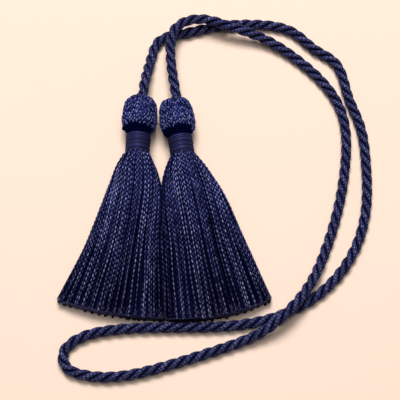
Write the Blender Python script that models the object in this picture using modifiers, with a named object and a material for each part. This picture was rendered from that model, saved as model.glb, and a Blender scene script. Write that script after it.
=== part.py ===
"""Double tassel cord: two silky tassels joined head to head by one twisted cord, all lying flat.

Metres, +Z up. The surface is z = 0 and the origin is under the middle of the two tassels. The tassels
lie side by side with their heads towards +Y and their cut ends towards -Y. The cord leaves one crown,
makes its loop on the surface and goes into the other crown.
"""
import math
import random

import bmesh
import bpy
import numpy as np
from mathutils import Matrix, Vector

MM = 0.001
GAP = 0.3 * MM  # between any two pieces

# Cord: three plies laid together with an S twist.
PLIES = 3
CORD_DIAMETER = 4.1 * MM
CORD_LAY = 13.6 * MM  # length of one full turn of a ply
VALLEY_DEPTH = 0.24  # share of the cord's radius between a ply's crest and the valley beside it
PLY_FLANK = math.radians(27.0)  # half the width of a ply's round crest, seen along the cord
STEPS_PER_LAY = 7
FINE_STEPS = 40  # between two points of the route, before it is divided evenly

# Head and neck, turned about the tassel's axis. Distances run down the axis from the crown.
SIDES = 48
HEAD_PROFILE = (  # (distance, radius) in millimetres
    (0.0, 2.4),
    (0.5, 3.8),
    (1.2, 5.0),
    (2.2, 5.7),
    (4.2, 6.4),
    (7.6, 6.85),
    (10.6, 6.85),
    (12.4, 6.5),
    (13.7, 6.0),
    (14.8, 5.2),
    (15.5, 3.9),
)
NECK_RADIUS = HEAD_PROFILE[-1][1] * MM
NECK_START = HEAD_PROFILE[-1][0] * MM
NECK_LENGTH = 8.1 * MM
COLLAR_RADIUS = 5.6 * MM
COLLAR_FLARE = 0.4 * MM
COLLAR_LENGTH = 0.8 * MM
SKIRT_START = NECK_START + NECK_LENGTH + COLLAR_FLARE + COLLAR_LENGTH
AXIS_HEIGHT = 6.7 * MM  # a little under the head's radius, so that the head has a flat spot to lie on

# Binding: thread wound round the neck, as one band with a slight waist towards the skirt.
BINDING_SIDES = 32
BINDING_TOP_RADIUS = 4.9 * MM
BINDING_FOOT_RADIUS = 4.75 * MM
BINDING_ROUND = 0.35 * MM

# Skirt: strands in rings round an open core, rooted in the collar's end.
STRAND_RINGS = 2
RING_DEPTH = 0.32  # of the collar's radius
ROOT_INSET = 0.045 * MM
HEM_RAGGED = 0.035  # how much shorter than full length a strand may be cut
HEM_UNDERCUT = 0.02  # how much shorter the strands on the surface are than those on top
SEED = 11

# How each skirt lies. "share" is the share of a strand's length, "left" and "right" are the skirt's edges
# there, "bow" is how far its middle lies beyond a line between them, "middle" and "top" are heights,
# "spread" goes from 0, strands evenly round a circle, to 1, strands evenly side by side, and the three
# powers say how square the section is at its top, at the side that meets the other skirt and below.
COLUMNS = ("share", "left", "right", "bow", "middle", "top", "spread", "crest", "seam", "sole")
NECK_ROW = (0.0, None, None, 0.0, 6.7, 12.3, 0.0, 2.0, 2.0, 2.0)
TASSELS = {
    "left": {
        "crown": (-9.35, 44.0),
        "tilt": -2.6,
        "seam_side": 1,
        "rows": (
            (0.2, (-20.5, 8.8), (-1.5, 8.0), 0.4, 4.6, 10.8, 0.55, 2.3, 3.0, 12.0),
            (0.6, (-29.2, -13.6), (-0.8, -18.2), 1.0, 3.1, 7.8, 1.0, 2.8, 4.5, 20.0),
            (1.0, (-39.9, -36.6), (0.4, -43.9), 1.9, 2.6, 6.2, 1.0, 3.2, 6.0, 24.0),
        ),
    },
    "right": {
        "crown": (3.35, 43.0),
        "tilt": 8.5,
        "seam_side": -1,
        "rows": (
            (0.2, (-0.7, 7.4), (19.8, 9.2), 0.5, 4.6, 11.0, 0.55, 2.3, 3.0, 12.0),
            (0.6, (-0.4, -18.9), (30.6, -12.9), 1.9, 3.1, 8.0, 1.0, 2.8, 4.5, 20.0),
            (1.0, (0.8, -43.9), (40.3, -36.0), 3.4, 2.6, 6.4, 1.0, 3.2, 6.0, 24.0),
        ),
    },
}

# The cord's route, from the left crown to the right one, as (x, y, z) in millimetres. Where it passes
# over itself, the upper stretch rises and falls in a long low hump.
CORD_ROUTE = (
    (-8.7, 44.4, 6.7),
    (-8.1, 50.4, 6.2),
    (-5.9, 62.0, 2.7),
    (-2.2, 70.8, 2.1),
    (4.7, 73.2, 2.1),
    (17.4, 76.2, 2.1),
    (38.1, 77.5, 2.1),
    (50.3, 74.2, 2.1),
    (59.2, 66.3, 2.1),
    (66.0, 61.4, 2.1),
    (69.2, 54.8, 2.1),
    (70.9, 46.9, 2.1),
    (75.0, 34.6, 2.1),
    (76.8, 17.7, 2.1),
    (76.1, 0.2, 2.1),
    (69.8, -18.8, 2.1),
    (58.4, -32.6, 2.1),
    (38.3, -43.1, 2.1),
    (18.9, -45.9, 2.1),
    (-21.3, -47.5, 2.1),
    (-31.8, -50.9, 2.1),
    (-36.2, -55.9, 2.1),
    (-35.0, -60.8, 2.1),
    (-29.4, -63.6, 2.1),
    (-18.3, -64.5, 2.1),
    (2.5, -60.1, 2.1),
    (27.2, -52.0, 2.1),
    (37.4, -47.6, 4.6),
    (43.2, -43.4, 6.6),
    (51.1, -34.8, 6.2),
    (58.8, -20.2, 2.3),
    (69.1, 19.7, 2.1),
    (67.8, 40.9, 2.1),
    (52.7, 61.3, 2.1),
    (37.9, 70.8, 3.9),
    (23.6, 75.1, 6.7),
    (11.8, 77.7, 6.5),
    (4.1, 74.0, 6.7),
    (1.8, 63.8, 6.5),
    (4.35, 43.5, 6.7),
)


def clear_objects():
    for old in list(bpy.data.objects):
        bpy.data.objects.remove(old, do_unlink=True)


def silk(name, color, roughness):
    """One plain Principled material."""
    material = bpy.data.materials.new(name)
    material.use_nodes = True
    shader = material.node_tree.nodes["Principled BSDF"]
    shader.inputs["Base Color"].default_value = (*color, 1.0)
    shader.inputs["Roughness"].default_value = roughness
    shader.inputs["Metallic"].default_value = 0.0
    return material


def add_object(name, data, material, collection):
    if material is not None:
        data.materials.append(material)
    piece = bpy.data.objects.new(name, data)
    collection.objects.link(piece)
    return piece


# ---------------------------------------------------------------- tassels


def tassel_frame(tassel):
    """Local +Z runs up the axis to the crown, local X is the side and local Y points down."""
    tilt = math.radians(tassel["tilt"])
    side = Vector((math.cos(tilt), math.sin(tilt), 0.0))
    up_axis = Vector((-math.sin(tilt), math.cos(tilt), 0.0))
    down = up_axis.cross(side)
    crown = Vector((tassel["crown"][0] * MM, tassel["crown"][1] * MM, AXIS_HEIGHT))
    frame = Matrix((side, down, up_axis)).transposed().to_4x4()
    return Matrix.Translation(crown) @ frame


def skirt_rows(tassel):
    """The skirt's rows as dictionaries, the first one worked out from the collar."""
    frame = tassel_frame(tassel)
    edge_left = frame @ Vector((-COLLAR_RADIUS, 0.0, -SKIRT_START)) / MM
    edge_right = frame @ Vector((COLLAR_RADIUS, 0.0, -SKIRT_START)) / MM
    first = dict(zip(COLUMNS, NECK_ROW), left=tuple(edge_left[:2]), right=tuple(edge_right[:2]))
    return [first] + [dict(zip(COLUMNS, row)) for row in tassel["rows"]]


def between(low, high, mix):
    if isinstance(low, tuple):
        return tuple(between(a, b, mix) for a, b in zip(low, high))
    return low + (high - low) * mix


def row_at(rows, share):
    """The row for any share of a strand's length."""
    for low, high in zip(rows, rows[1:]):
        if share <= high["share"] or high is rows[-1]:
            mix = (share - low["share"]) / (high["share"] - low["share"])
            return {key: between(low[key], high[key], mix) for key in COLUMNS}


def lay_strand_point(tassel, rows, out, turn, share):
    """Where a point of the skirt lies.

    out is its distance from the skirt's core, from 0 to 1, and turn its angle round the core, with a
    quarter turn being up. Rings of strands keep their order, so no strand runs into another.
    """
    row = row_at(rows, share)
    even = 1.0 - 2.0 * abs(turn) / math.pi
    across = between(math.cos(turn), even, row["spread"])
    power = row["seam"] if across * tassel["seam_side"] > 0 else row["crest"]
    if turn < 0:
        power = row["sole"]
    rise = math.sqrt(max(0.0, 1.0 - abs(across) ** power))
    reach = row["top"] - row["middle"] if turn >= 0 else -row["middle"]
    if turn < 0 and share < rows[1]["share"]:
        # the underside sinks from the collar's lower edge to the surface
        reach = -between(COLLAR_RADIUS / MM, row["middle"], share / rows[1]["share"])
    across *= out
    height = row["middle"] + out * rise * reach
    x, y = between(row["left"], row["right"], (across + 1.0) / 2.0)
    tilt = math.radians(tassel["tilt"])
    bow = row["bow"] * (1.0 - across * across)
    return Vector((x + bow * math.sin(tilt), y - bow * math.cos(tilt), height)) * MM


def turned_head():
    """Head, neck and collar, turned about Z from the crown down, closed at both ends."""
    profile = [(radius * MM, -distance * MM) for distance, radius in HEAD_PROFILE]
    neck_end = NECK_START + NECK_LENGTH
    profile.append((NECK_RADIUS, -neck_end))
    profile.append((COLLAR_RADIUS - COLLAR_FLARE, -(neck_end + COLLAR_FLARE)))
    profile.append((COLLAR_RADIUS, -SKIRT_START))
    shape = bmesh.new()
    line = [shape.verts.new((radius, 0.0, height)) for radius, height in profile]
    edges = [shape.edges.new(pair) for pair in zip(line, line[1:])]
    bmesh.ops.spin(
        shape, geom=line + edges, axis=(0, 0, 1), cent=(0, 0, 0), angle=math.tau, steps=SIDES, use_merge=True
    )
    bmesh.ops.remove_doubles(shape, verts=shape.verts, dist=MM / 100)
    ends = [edge for edge in shape.edges if edge.is_boundary]
    bmesh.ops.holes_fill(shape, edges=ends, sides=SIDES)
    return shape


def strand_roots(shape):
    """Divide the collar's end into rings of cells, and return one small root face in each."""
    shape.faces.ensure_lookup_table()
    end = min(shape.faces, key=lambda face: face.calc_center_median().z)
    cells = []
    for _ in range(STRAND_RINGS):
        cells += bmesh.ops.inset_region(shape, faces=[end], thickness=RING_DEPTH * COLLAR_RADIUS)["faces"]
    bmesh.ops.inset_individual(shape, faces=cells, thickness=ROOT_INSET, use_even_offset=True)
    return cells


def make_tassel(name, tassel, material, collection):
    """One solid: a turned head whose collar carries rings of separate strands."""
    shape = turned_head()
    roots = strand_roots(shape)
    rows = skirt_rows(tassel)

    # Strands are drawn straight out first, with their depth below the collar holding their share.
    tips = roots
    shares = [row["share"] for row in rows]
    for start, stop in zip(shares, shares[1:]):
        tips = bmesh.ops.extrude_discrete_faces(shape, faces=tips)["faces"]
        verts = [vert for face in tips for vert in face.verts]
        bmesh.ops.translate(shape, verts=verts, vec=(0.0, 0.0, start - stop))

    # Cut each strand to its own length.
    chance = random.Random(f"{SEED}{name}")
    for face in tips:
        center = face.calc_center_median()
        under = HEM_UNDERCUT if center.y > 0 else 0.0
        cut = under + HEM_RAGGED * chance.random() ** 2
        for vert in face.verts:
            vert.co.z += cut

    # Lay the head on the surface and the strands in their fan.
    frame = tassel_frame(tassel)
    for vert in shape.verts:
        share = -vert.co.z - SKIRT_START
        if share > MM:
            out = vert.co.xy.length / (COLLAR_RADIUS - ROOT_INSET)
            turn = math.atan2(-vert.co.y, vert.co.x)
            vert.co = lay_strand_point(tassel, rows, min(out, 1.0), turn, share)
        else:
            vert.co = frame @ vert.co
            vert.co.z = max(vert.co.z, 0.0)
    bmesh.ops.recalc_face_normals(shape, faces=shape.faces)
    mesh = bpy.data.meshes.new(name)
    shape.to_mesh(mesh)
    shape.free()
    return add_object(name, mesh, material, collection)


def make_binding(name, tassel, material, collection):
    """The wound thread as a turned band, a gap clear of the neck, the head and the collar."""
    top = -(NECK_START + GAP)
    foot = -(NECK_START + NECK_LENGTH - GAP)
    inner = NECK_RADIUS + GAP
    profile = (
        (BINDING_TOP_RADIUS - BINDING_ROUND, top),
        (BINDING_TOP_RADIUS, top - BINDING_ROUND),
        (BINDING_FOOT_RADIUS, foot + BINDING_ROUND),
        (BINDING_FOOT_RADIUS - BINDING_ROUND, foot),
        (inner, foot),
        (inner, top),
    )
    mesh = bpy.data.meshes.new(name)
    count = len(profile)
    loop = [(index, (index + 1) % count) for index in range(count)]
    mesh.from_pydata([(radius, 0.0, height) for radius, height in profile], loop, [])
    band = add_object(name, mesh, material, collection)
    band.matrix_world = tassel_frame(tassel)
    screw = band.modifiers.new("Turn", "SCREW")
    screw.steps = BINDING_SIDES
    screw.render_steps = BINDING_SIDES
    screw.use_merge_vertices = True
    screw.merge_threshold = MM / 100
    return band


# ---------------------------------------------------------------- cord


def smooth_route(points, step):
    """Even points about a step apart on the smoothest curve through the given ones, and its length."""
    knots = np.array(points) * MM
    chords = np.linalg.norm(np.diff(knots, axis=0), axis=1)

    # the curve's slope at each knot, so that its bend is continuous there; its ends run straight out
    system = np.eye(len(knots))
    wanted = np.zeros_like(knots)
    wanted[0] = (knots[1] - knots[0]) / chords[0]
    wanted[-1] = (knots[-1] - knots[-2]) / chords[-1]
    for i in range(1, len(knots) - 1):
        before, after = chords[i - 1], chords[i]
        system[i, i - 1 : i + 2] = after, 2 * (before + after), before
        wanted[i] = 3 * after * (knots[i] - knots[i - 1]) / before
        wanted[i] += 3 * before * (knots[i + 1] - knots[i]) / after
    slopes = np.linalg.solve(system, wanted)

    fine = []
    for i, chord in enumerate(chords):
        for u in np.linspace(0.0, 1.0, FINE_STEPS, endpoint=False):
            fine.append(
                knots[i] * (2 * u**3 - 3 * u**2 + 1)
                + knots[i + 1] * (3 * u**2 - 2 * u**3)
                + slopes[i] * (u**3 - 2 * u**2 + u) * chord
                + slopes[i + 1] * (u**3 - u**2) * chord
            )
    fine = np.array(fine + [knots[-1]])
    fine[:, 2] = np.maximum(fine[:, 2], CORD_DIAMETER / 2)
    run = np.concatenate([[0.0], np.cumsum(np.linalg.norm(np.diff(fine, axis=0), axis=1))])
    even = np.linspace(0.0, run[-1], round(run[-1] / step) + 1)
    return np.column_stack([np.interp(even, run, fine[:, axis]) for axis in range(3)]), run[-1]


def ply_outline():
    """The cord's section: a round crest for each ply and a valley between two plies."""
    radius = CORD_DIAMETER / 2
    outline = []
    for ply in range(PLIES):
        crest = math.tau * ply / PLIES
        valley = crest + math.pi / PLIES
        outline.append((radius, crest - PLY_FLANK))
        outline.append((radius, crest + PLY_FLANK))
        outline.append((radius * (1.0 - VALLEY_DEPTH), valley))
    return [(reach * math.cos(angle), -reach * math.sin(angle)) for reach, angle in outline]


def make_cord(name, material, collection, guides):
    """The plied cord: its section swept along the route and turned once in every lay."""
    section = bpy.data.curves.new("ply_section", "CURVE")
    section.dimensions = "2D"
    ring = section.splines.new("POLY")
    outline = ply_outline()
    ring.points.add(len(outline) - 1)
    for point, (x, y) in zip(ring.points, outline):
        point.co = (x, y, 0.0, 1.0)
    ring.use_cyclic_u = True
    guide = add_object("ply_section", section, None, guides)
    guide.hide_render = True
    guide.display_type = "WIRE"

    route, length = smooth_route(CORD_ROUTE, CORD_LAY / STEPS_PER_LAY)
    curve = bpy.data.curves.new(name, "CURVE")
    curve.dimensions = "3D"
    curve.bevel_mode = "OBJECT"
    curve.bevel_object = guide
    curve.use_fill_caps = True
    spline = curve.splines.new("POLY")
    spline.points.add(len(route) - 1)
    twist = -math.tau * (length / (len(route) - 1)) / CORD_LAY
    for index, (point, place) in enumerate(zip(spline.points, route)):
        point.co = (*place, 1.0)
        point.tilt = twist * index
    return add_object(name, curve, material, collection)


def main():
    clear_objects()
    parts = bpy.data.collections.new("double_tassel_cord")
    guides = bpy.data.collections.new("guides")
    bpy.context.scene.collection.children.link(parts)
    bpy.context.scene.collection.children.link(guides)
    for side, tassel in TASSELS.items():
        yarn = silk(f"tassel_{side}_yarn", (0.022, 0.026, 0.105), 0.45)
        thread = silk(f"binding_{side}_thread", (0.016, 0.018, 0.070), 0.40)
        make_tassel(f"tassel_{side}", tassel, yarn, parts)
        make_binding(f"binding_{side}", tassel, thread, parts)
    make_cord("cord", silk("cord_silk", (0.020, 0.024, 0.100), 0.42), parts, guides)


main()
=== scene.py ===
"""Double tassel cord: two silky tassels, one on each end of a single twisted cord, lying flat.

Lengths are in millimetres where a name or comment says so, and in metres elsewhere. The axes are the
frame's own: +Z up from the surface, the tassels' heads towards +Y and their cut ends towards -Y.
"""

import math

import bpy
import numpy as np
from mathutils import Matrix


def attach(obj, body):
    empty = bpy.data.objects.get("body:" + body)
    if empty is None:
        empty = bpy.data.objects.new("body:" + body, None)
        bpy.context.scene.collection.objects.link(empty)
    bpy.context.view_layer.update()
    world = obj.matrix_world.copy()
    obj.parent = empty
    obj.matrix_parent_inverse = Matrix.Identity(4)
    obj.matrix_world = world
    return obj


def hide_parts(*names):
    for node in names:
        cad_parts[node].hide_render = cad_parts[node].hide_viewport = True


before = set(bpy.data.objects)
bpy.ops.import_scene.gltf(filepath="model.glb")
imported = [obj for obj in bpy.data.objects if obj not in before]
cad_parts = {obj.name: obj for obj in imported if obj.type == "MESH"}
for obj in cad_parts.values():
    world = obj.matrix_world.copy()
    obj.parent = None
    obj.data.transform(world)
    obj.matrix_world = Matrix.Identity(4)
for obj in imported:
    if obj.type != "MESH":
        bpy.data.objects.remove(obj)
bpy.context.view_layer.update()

MM = 0.001

# ---------------------------------------------------------------- camera and light
# A still-life set: a camera looking steeply down, a soft window light high behind the tassels and a
# little to their left, a broad soft sky light overhead, and a dim pale surround that opens the shadows.

AIM = (0.0134, 0.0042, 0.0)
CAMERA_ELEVATION = math.radians(70.0)
CAMERA_DISTANCE = 0.5
LENS = 118.4  # mm
SENSOR = 36.0  # mm wide
LIGHTS = (  # name, place and width in metres, power in watts, and color
    ("window", (-0.06, 0.56, 1.12), 0.5, 12.6, (1.0, 0.975, 0.965)),
    ("sky", (0.0, 0.2, 1.6), 1.3, 11.6, (1.0, 0.965, 0.95)),
)
SURROUND_COLOR = (1.0, 0.96, 0.92, 1.0)
SURROUND_STRENGTH = 0.09

camera = bpy.data.objects.new("camera", bpy.data.cameras.new("camera"))
camera.data.lens = LENS
camera.data.sensor_width = SENSOR
camera.location = (
    AIM[0],
    AIM[1] - CAMERA_DISTANCE * math.cos(CAMERA_ELEVATION),
    AIM[2] + CAMERA_DISTANCE * math.sin(CAMERA_ELEVATION),
)
camera.rotation_euler = (math.pi / 2 - CAMERA_ELEVATION, 0.0, 0.0)
bpy.context.scene.collection.objects.link(camera)
bpy.context.scene.camera = camera
bpy.context.scene.view_settings.view_transform = "Standard"


def soft_light(name, place, size, power, color):
    """A square soft light at place, facing the tassels."""
    lamp = bpy.data.lights.new(name, "AREA")
    lamp.size = size
    lamp.energy = power
    lamp.color = color
    light = bpy.data.objects.new(name, lamp)
    light.location = place
    towards = np.array(place) - np.array(AIM)
    light.rotation_euler = (
        0.0,
        math.acos(towards[2] / np.linalg.norm(towards)),
        math.atan2(towards[1], towards[0]),
    )
    bpy.context.scene.collection.objects.link(light)


for soft in LIGHTS:
    soft_light(*soft)

surround = bpy.data.worlds.new("surround")
surround.use_nodes = True
background = surround.node_tree.nodes["Background"]
background.inputs["Color"].default_value = SURROUND_COLOR
background.inputs["Strength"].default_value = SURROUND_STRENGTH
bpy.context.scene.world = surround

# ---------------------------------------------------------------- cord
# Three plies of bright rayon yarn, laid together with an S twist, each ply twisted the other way so
# that its yarns run along the cord. It leaves the left crown, loops on the surface and goes into the
# right crown. Where it lies over itself, the upper stretch rises and falls in a long low hump.

CORD_DIAMETER = 4.1  # mm
CORD_LAY = 13.6  # mm, one full turn of a ply
PLIES = 3
PLY_RADIUS = 1.0  # mm
PLY_OFFSET = CORD_DIAMETER / 2 - PLY_RADIUS
PLY_YARNS = 7
YARN_LAY = 8.4  # mm, one full turn of a yarn within its ply
YARN_GROOVE = 0.13  # how far the groove between two yarns lies in, as a share of the ply's radius
YARN_SHOULDER = 0.045  # the same for a yarn's shoulder
# painted shade: each yarn is darkest in its groove and full on its crest
CORD_YARN_SHADE = np.array((0.3, 1.0, 0.75))  # in the groove, on the crest and on the shoulder of a yarn
PLY_TONES = (0.66, 0.8, 0.72)  # each ply's own
# painted shade: a ply darkens towards its sides, where the plies meet, and is full towards its crest
PLY_SIDE_SHADE = 0.1  # at a ply's sides, where two plies meet
PLY_CREST_LIGHT = 1.4  # more than that towards its crest, which is cut off at 1
CORD_STEP = 0.55  # mm between two sections
CORD_TUCK = 1.6  # mm of cord inside each crown

CORD_ROUTE = (
    (-0.0087, 0.0444, 0.0067),
    (-0.0081, 0.0504, 0.0062),
    (-0.0059, 0.0620, 0.0027),
    (-0.0022, 0.0708, 0.0021),
    (0.0047, 0.0732, 0.0021),
    (0.0174, 0.0762, 0.0021),
    (0.0381, 0.0775, 0.0021),
    (0.0503, 0.0742, 0.0021),
    (0.0592, 0.0663, 0.0021),
    (0.0660, 0.0614, 0.0021),
    (0.0692, 0.0548, 0.0021),
    (0.0709, 0.0469, 0.0021),
    (0.0750, 0.0346, 0.0021),
    (0.0768, 0.0177, 0.0021),
    (0.0761, 0.0002, 0.0021),
    (0.0698, -0.0188, 0.0021),
    (0.0584, -0.0326, 0.0021),
    (0.0383, -0.0431, 0.0021),
    (0.0189, -0.0459, 0.0021),
    (-0.0213, -0.0475, 0.0021),
    (-0.0318, -0.0509, 0.0021),
    (-0.0362, -0.0559, 0.0021),
    (-0.0350, -0.0608, 0.0021),
    (-0.0294, -0.0636, 0.0021),
    (-0.0183, -0.0645, 0.0021),
    (0.0025, -0.0601, 0.0021),
    (0.0272, -0.0520, 0.0021),
    (0.0374, -0.0476, 0.0046),
    (0.0432, -0.0434, 0.0066),
    (0.0511, -0.0348, 0.0062),
    (0.0588, -0.0202, 0.0023),
    (0.0691, 0.0197, 0.0021),
    (0.0678, 0.0409, 0.0021),
    (0.0527, 0.0613, 0.0021),
    (0.0379, 0.0708, 0.0039),
    (0.0236, 0.0751, 0.0067),
    (0.0118, 0.0777, 0.0065),
    (0.0041, 0.0740, 0.0067),
    (0.0018, 0.0638, 0.0065),
    (0.00435, 0.0435, 0.0067),
)


CURVE_STEPS = 40  # between two knots of a line, before it is divided evenly


def smooth_line(points, step):
    """Even points about a step apart on the smoothest curve through the given ones."""
    knots = np.array(points, float)
    chords = np.linalg.norm(np.diff(knots, axis=0), axis=1)

    # the curve's slope at each knot, so that its bend is continuous there; its ends run straight out
    system = np.eye(len(knots))
    wanted = np.zeros_like(knots)
    wanted[0] = (knots[1] - knots[0]) / chords[0]
    wanted[-1] = (knots[-1] - knots[-2]) / chords[-1]
    for i in range(1, len(knots) - 1):
        before, after = chords[i - 1], chords[i]
        system[i, i - 1 : i + 2] = after, 2 * (before + after), before
        wanted[i] = 3 * after * (knots[i] - knots[i - 1]) / before
        wanted[i] += 3 * before * (knots[i + 1] - knots[i]) / after
    slopes = np.linalg.solve(system, wanted)

    u = np.linspace(0.0, 1.0, CURVE_STEPS, endpoint=False)[:, None]
    fine = []
    for i, chord in enumerate(chords):
        fine.append(
            knots[i] * (2 * u**3 - 3 * u**2 + 1)
            + knots[i + 1] * (3 * u**2 - 2 * u**3)
            + slopes[i] * (u**3 - 2 * u**2 + u) * chord
            + slopes[i + 1] * (u**3 - u**2) * chord
        )
    return evenly(np.concatenate(fine + [knots[-1:]]), step)


def evenly(line, step):
    """The same line with its points about a step apart."""
    run = np.concatenate([[0.0], np.cumsum(np.linalg.norm(np.diff(line, axis=0), axis=1))])
    even = np.linspace(0.0, run[-1], max(2, round(run[-1] / step) + 1))
    return np.column_stack([np.interp(even, run, axis) for axis in line.T])


def unit(vectors):
    return vectors / np.linalg.norm(vectors, axis=-1, keepdims=True)


def along_of(line):
    """Direction of the line at each of its points."""
    return unit(np.gradient(line, axis=0))


def carried_side(along, side):
    """A side direction carried along a line without turning about it."""
    sides = []
    for direction in along:
        side = unit(side - direction * (side @ direction))
        sides.append(side)
    return np.array(sides)


THREAD_APART = 7.0  # between two threads' places for fibres, so that no two threads look alike


def add_threads(name, *bundles):
    """One mesh of closed threads.

    Each bundle is (rings, run, tone): the threads' rings as (threads, sections, points round, xyz), how
    far each section lies along its thread in metres, and a tone from 0, deep, to 1, bright, for each
    thread, section or point. The tone carries painted shade and painted light as well as the threads' own
    differences. The mesh keeps the tone, and a place on the thread for fibres to follow.
    """
    places, quads, caps, fibres, tones = [], [], [], [], []
    start = 0
    for rings, run, tone in bundles:
        threads, sections, around = rings.shape[:3]
        point = np.arange(around)
        ring = np.arange(sections - 1)[:, None] * around
        near, far = ring + point, ring + (point + 1) % around
        wall = np.stack([near, far, far + around, near + around], axis=-1).reshape(-1, 4)
        ends = np.stack([point[::-1], (sections - 1) * around + point])
        offsets = start + np.arange(threads)[:, None, None] * sections * around
        quads.append((wall + offsets).reshape(-1, 4))
        caps.append((ends + offsets).reshape(-1, around))
        places.append(rings.reshape(-1, 3))
        turn = math.tau * point / around
        fibre = np.zeros(rings.shape)
        fibre[..., 0] = np.cos(turn) + THREAD_APART * np.arange(threads)[:, None, None]
        fibre[..., 1] = np.sin(turn)
        fibre[..., 2] = np.broadcast_to(run, (threads, sections))[..., None] / MM
        fibres.append(fibre.reshape(-1, 3))
        tone = np.asarray(tone, float)
        tone = tone.reshape(tone.shape + (1,) * (3 - tone.ndim))
        tones.append(np.broadcast_to(tone, rings.shape[:3]).ravel())
        start += threads * sections * around
    mesh = bpy.data.meshes.new(name)
    faces = [face for group in quads + caps for face in group.tolist()]
    mesh.from_pydata(np.concatenate(places).tolist(), [], faces)
    mesh.polygons.foreach_set("use_smooth", np.ones(len(faces), bool))
    fibre_place = mesh.attributes.new("fibre", "FLOAT_VECTOR", "POINT")
    fibre_place.data.foreach_set("vector", np.concatenate(fibres).ravel())
    mesh.attributes.new("tone", "FLOAT", "POINT").data.foreach_set("value", np.concatenate(tones))
    mesh.update()
    piece = bpy.data.objects.new(name, mesh)
    bpy.context.scene.collection.objects.link(piece)
    return piece


class Signal:
    """A value in a material, with the arithmetic that its finishes use."""

    def __init__(self, finish, socket):
        self.finish = finish
        self.socket = socket

    def _math(self, operation, first, second):
        return self.finish.node("ShaderNodeMath", {"operation": operation}, {0: first, 1: second})

    def __add__(self, other):
        return self._math("ADD", self, other)

    def __sub__(self, other):
        return self._math("SUBTRACT", self, other)

    def __rsub__(self, other):
        return self._math("SUBTRACT", other, self)

    def __mul__(self, other):
        return self._math("MULTIPLY", self, other)

    __radd__ = __add__
    __rmul__ = __mul__


MIX_FIRST, MIX_SECOND, MIX_RESULT = 6, 7, 2  # the color sockets of a Mix node


class Finish:
    """A material with one Principled shader. Its constants are set on the shader's own sockets."""

    def __init__(self, name, constants):
        self.material = bpy.data.materials.new(name)
        self.material.use_nodes = True
        self.tree = self.material.node_tree
        self.shader = self.tree.nodes["Principled BSDF"]
        for socket, value in constants.items():
            self.shader.inputs[socket].default_value = value

    def node(self, kind, settings, values, output=0):
        """Any node, with its settings made first and then the values or links of its sockets."""
        node = self.tree.nodes.new(kind)
        for setting, value in settings.items():
            setattr(node, setting, value)
        for socket, value in values.items():
            if isinstance(value, Signal):
                self.tree.links.new(value.socket, node.inputs[socket])
            else:
                node.inputs[socket].default_value = value
        return Signal(self, node.outputs[output])

    def mixed(self, factor, first, second):
        """A color from first to second, as factor goes from 0 to 1."""
        colors = {"Factor": factor, MIX_FIRST: first, MIX_SECOND: second}
        return self.node("ShaderNodeMix", {"data_type": "RGBA"}, colors, MIX_RESULT)

    def feed(self, socket, signal):
        self.tree.links.new(signal.socket, self.shader.inputs[socket])


FIBRE_IN_COLOR, UNEVEN_IN_COLOR, LEAST_COLOR = 0.9, 0.4, 0.2  # shares of the way from deep to bright
# painted highlight: bright goes on to a pale glint where tone and fibres are high
PAINTED_GLINT_GAIN, PAINTED_GLINT_LESS = 1.8, 0.52  # bright goes on to pale by gain times fibre and tone, less this
MATT, FIBRE_GLOSS, TONE_GLOSS = 0.62, 0.22, 0.14  # roughness, and what fibres and tone take from it
UNEVEN_SCALE = 0.35  # of slow unevenness along the threads
BUMP_STRENGTH = 0.5
LOOP_SLANT = 5.0  # radians of phase for a yarn's whole width, up to its middle and back
LOOP_DRIFT = 14.0  # radians by which slow unevenness moves the loops along
LOOP_DEPTH = 0.78  # how strongly loops show against the fibres


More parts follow.
